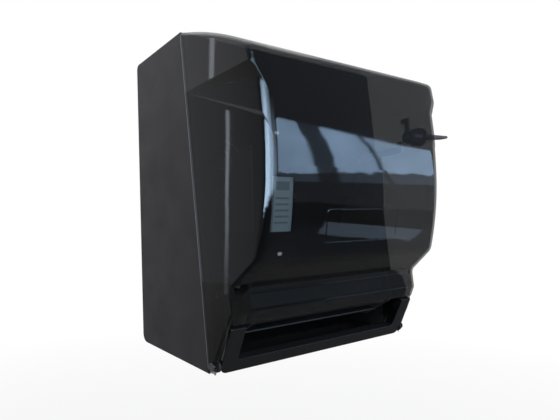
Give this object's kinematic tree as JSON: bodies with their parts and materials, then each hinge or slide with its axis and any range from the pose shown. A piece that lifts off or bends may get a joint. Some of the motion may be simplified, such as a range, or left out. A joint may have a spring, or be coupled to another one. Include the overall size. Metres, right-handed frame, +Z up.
{
  "type": "lever paper towel dispenser",
  "caption": "Wall-mounted lever paper towel dispenser: matte case, hinged smoke-tinted cover with key lock, U-shaped push lever, geared feed roller and sprung roll arms.",
  "frame": {"origin": "on the wall plane, at the centre of the rectangle of wall screw slots", "axes": "+X to the right seen from the front, +Y into the wall, +Z up; the front faces -Y"},
  "size_m": [0.3441, 0.2443, 0.375],
  "materials": {
    "rear_case": "fine moulded texture",
    "cover": "smoke-tinted, polished, see-through",
    "loading_label": "bare pale film",
    "hinge_pins": "moulded acetal",
    "lever_frame": "satin moulded",
    "lever_pivot_pins": "turned",
    "lever_spring": "drawn wire",
    "sector_gear": "natural acetal",
    "sector_screws": "zinc-plated",
    "chassis_left": "moulded",
    "chassis_right": "moulded",
    "chassis_screws": "zinc-plated",
    "front_guide": "satin moulded",
    "rear_guide": "moulded",
    "guide_screws": "zinc-plated",
    "tear_bar": "stainless strip",
    "tear_bar_screws": "zinc-plated",
    "drive_bushes": "sintered bronze",
    "drive_shaft": "ground",
    "shaft_clips": "blued spring steel",
    "drive_core": "moulded",
    "drive_sleeves": "ground grey rubber",
    "drive_pinion": "natural acetal",
    "one_way_clutch": "drawn cup",
    "feed_wheel": "moulded grey",
    "pinch_shaft": "ground",
    "pinch_rollers": "moulded",
    "pinch_springs": "spring strip",
    "arm_brackets": "moulded",
    "bracket_screws": "zinc-plated",
    "arm_pins": "turned",
    "roll_arm_left": "moulded",
    "roll_arm_right": "moulded",
    "core_hub_left": "moulded",
    "core_hub_right": "moulded",
    "hub_rivet_left": "turned",
    "hub_rivet_right": "turned",
    "lock_barrel": "nickel-plated zinc",
    "lock_nut": "zinc-plated",
    "lock_plug": "nickel-plated brass",
    "lock_cam": "zinc-plated",
    "cam_screw": "zinc-plated",
    "key": "dark red-brown moulded grip",
    "keeper_strip": "zinc-plated",
    "keeper_screws": "zinc-plated"
  },
  "bodies": {
    "case": {"rear_case": "rear_case", "hinge_pins": "hinge_pins", "chassis_left": "chassis_left", "chassis_right": "chassis_right", "chassis_screws": "chassis_screws", "front_guide": "front_guide", "rear_guide": "rear_guide", "guide_screws": "guide_screws", "tear_bar": "tear_bar", "tear_bar_screws": "tear_bar_screws", "drive_bushes": "drive_bushes", "lever_pivot_pins": "lever_pivot_pins", "lever_spring": "lever_spring", "pinch_springs": "pinch_springs", "arm_brackets": "arm_brackets", "bracket_screws": "bracket_screws", "arm_pins": "arm_pins", "keeper_strip": "keeper_strip", "keeper_screws": "keeper_screws"},
    "cover": {"cover": "cover", "loading_label": "loading_label", "lock_barrel": "lock_barrel", "lock_nut": "lock_nut"},
    "lock_core": {"lock_plug": "lock_plug", "lock_cam": "lock_cam", "cam_screw": "cam_screw", "key": "key"},
    "lever": {"lever_frame": "lever_frame", "sector_gear": "sector_gear", "sector_screws": "sector_screws"},
    "drive_roller": {"drive_shaft": "drive_shaft", "shaft_clips": "shaft_clips", "drive_core": "drive_core", "drive_sleeves": "drive_sleeves", "drive_pinion": "drive_pinion", "one_way_clutch": "one_way_clutch", "feed_wheel": "feed_wheel"},
    "pinch_roller": {"pinch_shaft": "pinch_shaft", "pinch_rollers": "pinch_rollers"},
    "left_arm": {"roll_arm_left": "roll_arm_left", "hub_rivet_left": "hub_rivet_left"},
    "right_arm": {"roll_arm_right": "roll_arm_right", "hub_rivet_right": "hub_rivet_right"},
    "left_hub": {"core_hub_left": "core_hub_left"},
    "right_hub": {"core_hub_right": "core_hub_right"}
  },
  "joints": [
    {"name": "cover_hinge", "type": "hinge", "parent": "case", "child": "cover", "pos_m": [0, -0.1715, -0.196], "axis": [1, 0, 0], "range_deg": [0, 95]},
    {"name": "lock_turn", "type": "hinge", "parent": "cover", "child": "lock_core", "pos_m": [0.14093, -0.217, 0.058], "axis": [-0.9803, 0.1961, -0.023], "range_deg": [0, 90]},
    {"name": "lever_press", "type": "hinge", "parent": "case", "child": "lever", "pos_m": [0, -0.164, -0.125], "axis": [1, 0, 0], "range_deg": [0, 22], "stiffness_Nm_per_rad": 1.2, "springref_deg": -20.05, "deforming": ["lever_spring"]},
    {"name": "drive_roll", "type": "hinge", "parent": "case", "child": "drive_roller", "pos_m": [0, -0.10384, -0.13779], "axis": [1, 0, 0], "range_deg": [-110, 0]},
    {"name": "pinch_roll", "type": "hinge", "parent": "case", "child": "pinch_roller", "pos_m": [0, -0.07458, -0.14563], "axis": [1, 0, 0], "range_deg": [0, 190]},
    {"name": "left_arm_spread", "type": "hinge", "parent": "case", "child": "left_arm", "pos_m": [-0.112, -0.017, 0.017], "axis": [0, 0, -1], "range_deg": [0, 10], "stiffness_Nm_per_rad": 3, "springref_deg": -2.86},
    {"name": "right_arm_spread", "type": "hinge", "parent": "case", "child": "right_arm", "pos_m": [0.112, -0.017, 0.017], "axis": [0, 0, 1], "range_deg": [0, 10], "stiffness_Nm_per_rad": 3, "springref_deg": -2.86},
    {"name": "left_hub_spin", "type": "hinge", "parent": "left_arm", "child": "left_hub", "pos_m": [-0.104, -0.128, 0.017], "axis": [1, 0, 0], "continuous": true},
    {"name": "right_hub_spin", "type": "hinge", "parent": "right_arm", "child": "right_hub", "pos_m": [0.104, -0.128, 0.017], "axis": [1, 0, 0], "continuous": true}
  ],
  "couplings": [
    {"joint": "drive_roll", "follows": "lever_press", "ratio": -4.8571},
    {"joint": "pinch_roll", "follows": "lever_press", "ratio": 8.3896}
  ]
}
